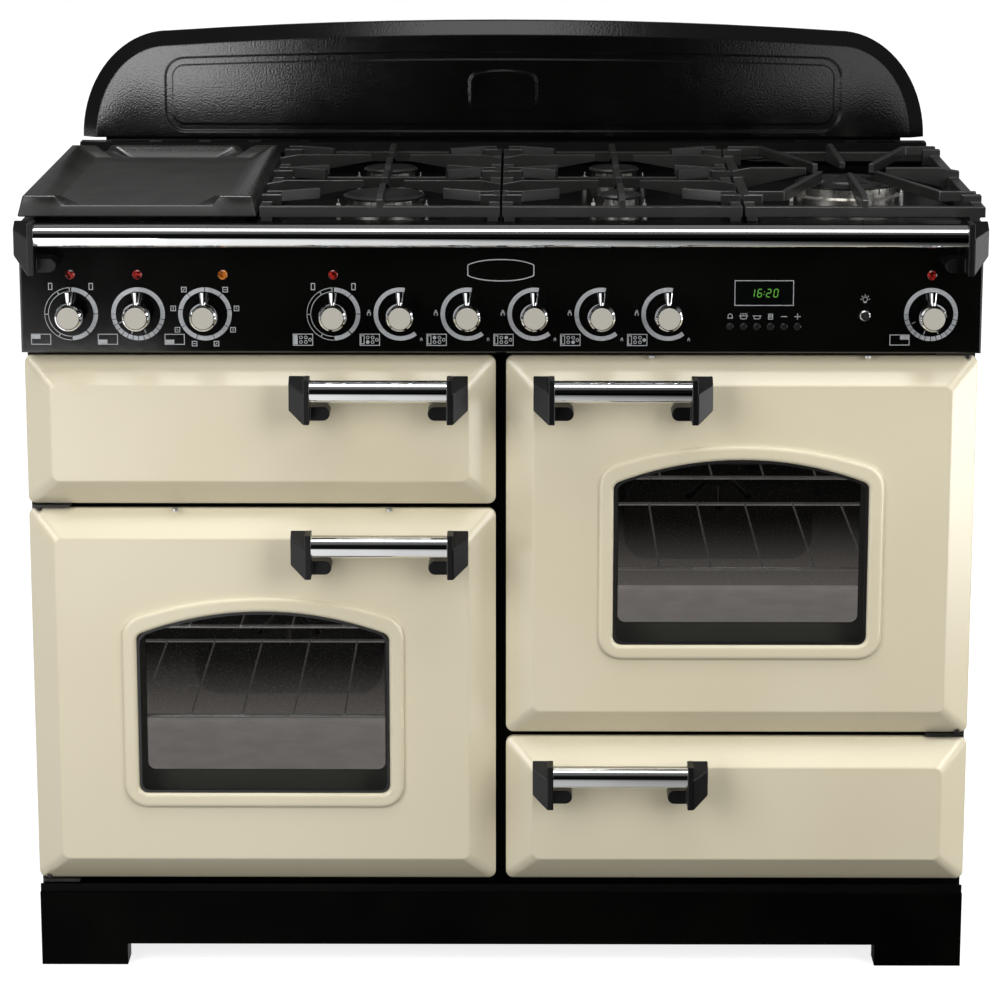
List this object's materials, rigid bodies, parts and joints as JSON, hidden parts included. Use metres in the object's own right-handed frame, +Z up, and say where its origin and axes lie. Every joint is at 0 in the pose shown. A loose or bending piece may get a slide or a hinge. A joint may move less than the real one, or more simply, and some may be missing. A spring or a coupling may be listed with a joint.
{
  "type": "range cooker",
  "caption": "Free-standing range cooker with oven doors, glide-out grill, storage drawer, gas hob, griddle, handrail and arched splashback.",
  "frame": {"origin": "on the floor, at the middle of the width and of the depth over the handles", "axes": "+X to the cook's right, +Y to the rear, +Z up"},
  "size_m": [1.1, 0.662, 1.066],
  "materials": {
    "cream_enamel": "vitreous enamel, glossy",
    "black_enamel": "vitreous enamel, semi-gloss",
    "gloss_fascia": "gloss black glass enamel",
    "black_casting": "satin black paint",
    "bright_bar": "polished",
    "knob_metal": "polished with a satin face",
    "cast_grid": "matt enamelled casting",
    "burner_alloy": "as cast",
    "cap_enamel": "matt enamel",
    "door_glass": "dark printed border",
    "ceramic_glass": "black ceramic glass",
    "oven_enamel": "speckled vitreous enamel",
    "sheet_steel": "galvanised sheet",
    "rack_chrome": "plated wire",
    "element_steel": "oxidised sheath",
    "lens": "clear tinted",
    "brass_fitting": "machined"
  },
  "bodies": {
    "carcass": {"handrail": "bright_bar", "left_oven_liner": "oven_enamel", "right_oven_liner": "oven_enamel", "grill_liner": "oven_enamel", "oven_shelves": "rack_chrome", "slide_runners": "sheet_steel", "door_hinges": "sheet_steel", "heating_elements": "element_steel", "front_frame": "black_enamel", "base_frame": "sheet_steel", "side_panels": "black_enamel", "rear_panel": "sheet_steel", "plinth": "black_enamel", "levelling_feet": "sheet_steel", "control_panel": "gloss_fascia", "panel_fittings": "lens", "taps_and_switches": "brass_fitting", "hob_tray": "black_enamel", "burner_heads": "burner_alloy", "burner_caps": "cap_enamel", "hotplate_glass": "ceramic_glass", "splashback": "black_enamel"},
    "door_left": {"left_door_panel": "cream_enamel", "left_door_liner": "oven_enamel", "left_door_glass": "door_glass", "left_door_handle": "bright_bar"},
    "door_right": {"right_door_panel": "cream_enamel", "right_door_liner": "oven_enamel", "right_door_glass": "door_glass", "right_door_handle": "bright_bar"},
    "grill_drawer": {"grill_front": "cream_enamel", "grill_handle": "bright_bar", "grill_pan": "oven_enamel", "grill_trivet": "rack_chrome"},
    "storage_drawer": {"drawer_front": "cream_enamel", "drawer_handle": "bright_bar", "drawer_box": "sheet_steel"},
    "griddle_plate": {"griddle": "cast_grid"},
    "support_left": {"pan_support_left": "cast_grid"},
    "support_centre": {"pan_support_centre": "cast_grid"},
    "support_wok": {"wok_support": "cast_grid"},
    "fan_left": {"left_fan": "sheet_steel"},
    "fan_right": {"right_fan": "sheet_steel"},
    "button_light": {"light_button": "bright_bar"},
    "turn_knob_grill": {"knob_grill": "knob_metal"},
    "turn_knob_left_heat": {"knob_left_heat": "knob_metal"},
    "turn_knob_left_mode": {"knob_left_mode": "knob_metal"},
    "turn_knob_hotplate": {"knob_hotplate": "knob_metal"},
    "turn_knob_right_heat": {"knob_right_heat": "knob_metal"},
    "turn_knob_burner_1": {"knob_burner_1": "knob_metal"},
    "turn_knob_burner_2": {"knob_burner_2": "knob_metal"},
    "turn_knob_burner_3": {"knob_burner_3": "knob_metal"},
    "turn_knob_burner_4": {"knob_burner_4": "knob_metal"},
    "turn_knob_burner_5": {"knob_burner_5": "knob_metal"},
    "button_timer_1": {"timer_button_1": "black_casting"},
    "button_timer_2": {"timer_button_2": "black_casting"},
    "button_timer_3": {"timer_button_3": "black_casting"},
    "button_timer_4": {"timer_button_4": "black_casting"},
    "button_timer_5": {"timer_button_5": "black_casting"},
    "button_timer_6": {"timer_button_6": "black_casting"}
  },
  "joints": [
    {"name": "door_left_swing", "type": "hinge", "parent": "carcass", "child": "door_left", "pos_m": [-0.534, -0.251, 0.33], "axis": [0, 0, -1], "range_deg": [0, 100]},
    {"name": "door_right_swing", "type": "hinge", "parent": "carcass", "child": "door_right", "pos_m": [0.534, -0.251, 0.51], "axis": [0, 0, 1], "range_deg": [0, 100]},
    {"name": "drawer_slide", "type": "slide", "parent": "carcass", "child": "storage_drawer", "axis": [0, -1, 0], "range_m": [0, 0.38]},
    {"name": "grill_slide", "type": "slide", "parent": "carcass", "child": "grill_drawer", "axis": [0, -1, 0], "range_m": [0, 0.3]},
    {"name": "griddle_lift", "type": "slide", "parent": "carcass", "child": "griddle_plate", "axis": [0, 0, 1], "range_m": [0, 0.06]},
    {"name": "support_centre_lift", "type": "slide", "parent": "carcass", "child": "support_centre", "axis": [0, 0, 1], "range_m": [0, 0.06]},
    {"name": "support_left_lift", "type": "slide", "parent": "carcass", "child": "support_left", "axis": [0, 0, 1], "range_m": [0, 0.06]},
    {"name": "support_wok_lift", "type": "slide", "parent": "carcass", "child": "support_wok", "axis": [0, 0, 1], "range_m": [0, 0.06]},
    {"name": "fan_left_spin", "type": "hinge", "parent": "carcass", "child": "fan_left", "pos_m": [-0.276, 0.203, 0.33], "axis": [0, 1, 0], "continuous": true},
    {"name": "fan_right_spin", "type": "hinge", "parent": "carcass", "child": "fan_right", "pos_m": [0.276, 0.203, 0.51], "axis": [0, 1, 0], "continuous": true},
    {"name": "light_press", "type": "slide", "parent": "carcass", "child": "button_light", "axis": [0, 1, 0], "range_m": [0, 0.003], "stiffness_N_per_m": 300},
    {"name": "knob_grill_turn", "type": "hinge", "parent": "carcass", "child": "turn_knob_grill", "pos_m": [-0.488, -0.277, 0.786], "axis": [0, 1, 0], "range_deg": [0, 270]},
    {"name": "knob_left_heat_turn", "type": "hinge", "parent": "carcass", "child": "turn_knob_left_heat", "pos_m": [-0.412, -0.277, 0.786], "axis": [0, 1, 0], "range_deg": [0, 280]},
    {"name": "knob_left_mode_turn", "type": "hinge", "parent": "carcass", "child": "turn_knob_left_mode", "pos_m": [-0.33599, -0.277, 0.786], "axis": [0, 1, 0], "range_deg": [0, 300]},
    {"name": "knob_hotplate_turn", "type": "hinge", "parent": "carcass", "child": "turn_knob_hotplate", "pos_m": [-0.19001, -0.277, 0.786], "axis": [0, 1, 0], "range_deg": [0, 270]},
    {"name": "knob_right_heat_turn", "type": "hinge", "parent": "carcass", "child": "turn_knob_right_heat", "pos_m": [0.488, -0.277, 0.786], "axis": [0, 1, 0], "range_deg": [0, 280]},
    {"name": "knob_burner_1_turn", "type": "hinge", "parent": "carcass", "child": "turn_knob_burner_1", "pos_m": [-0.114, -0.277, 0.786], "axis": [0, -1, 0], "range_deg": [0, 210]},
    {"name": "knob_burner_2_turn", "type": "hinge", "parent": "carcass", "child": "turn_knob_burner_2", "pos_m": [-0.038, -0.277, 0.786], "axis": [0, -1, 0], "range_deg": [0, 210]},
    {"name": "knob_burner_3_turn", "type": "hinge", "parent": "carcass", "child": "turn_knob_burner_3", "pos_m": [0.038, -0.277, 0.786], "axis": [0, -1, 0], "range_deg": [0, 210]},
    {"name": "knob_burner_4_turn", "type": "hinge", "parent": "carcass", "child": "turn_knob_burner_4", "pos_m": [0.114, -0.277, 0.786], "axis": [0, -1, 0], "range_deg": [0, 210]},
    {"name": "knob_burner_5_turn", "type": "hinge", "parent": "carcass", "child": "turn_knob_burner_5", "pos_m": [0.19001, -0.277, 0.786], "axis": [0, -1, 0], "range_deg": [0, 210]},
    {"name": "timer_1_press", "type": "slide", "parent": "carcass", "child": "button_timer_1", "axis": [0, 1, 0], "range_m": [0, 0.001], "stiffness_N_per_m": 300},
    {"name": "timer_2_press", "type": "slide", "parent": "carcass", "child": "button_timer_2", "axis": [0, 1, 0], "range_m": [0, 0.001], "stiffness_N_per_m": 300},
    {"name": "timer_3_press", "type": "slide", "parent": "carcass", "child": "button_timer_3", "axis": [0, 1, 0], "range_m": [0, 0.001], "stiffness_N_per_m": 300},
    {"name": "timer_4_press", "type": "slide", "parent": "carcass", "child": "button_timer_4", "axis": [0, 1, 0], "range_m": [0, 0.001], "stiffness_N_per_m": 300},
    {"name": "timer_5_press", "type": "slide", "parent": "carcass", "child": "button_timer_5", "axis": [0, 1, 0], "range_m": [0, 0.001], "stiffness_N_per_m": 300},
    {"name": "timer_6_press", "type": "slide", "parent": "carcass", "child": "button_timer_6", "axis": [0, 1, 0], "range_m": [0, 0.001], "stiffness_N_per_m": 300}
  ]
}
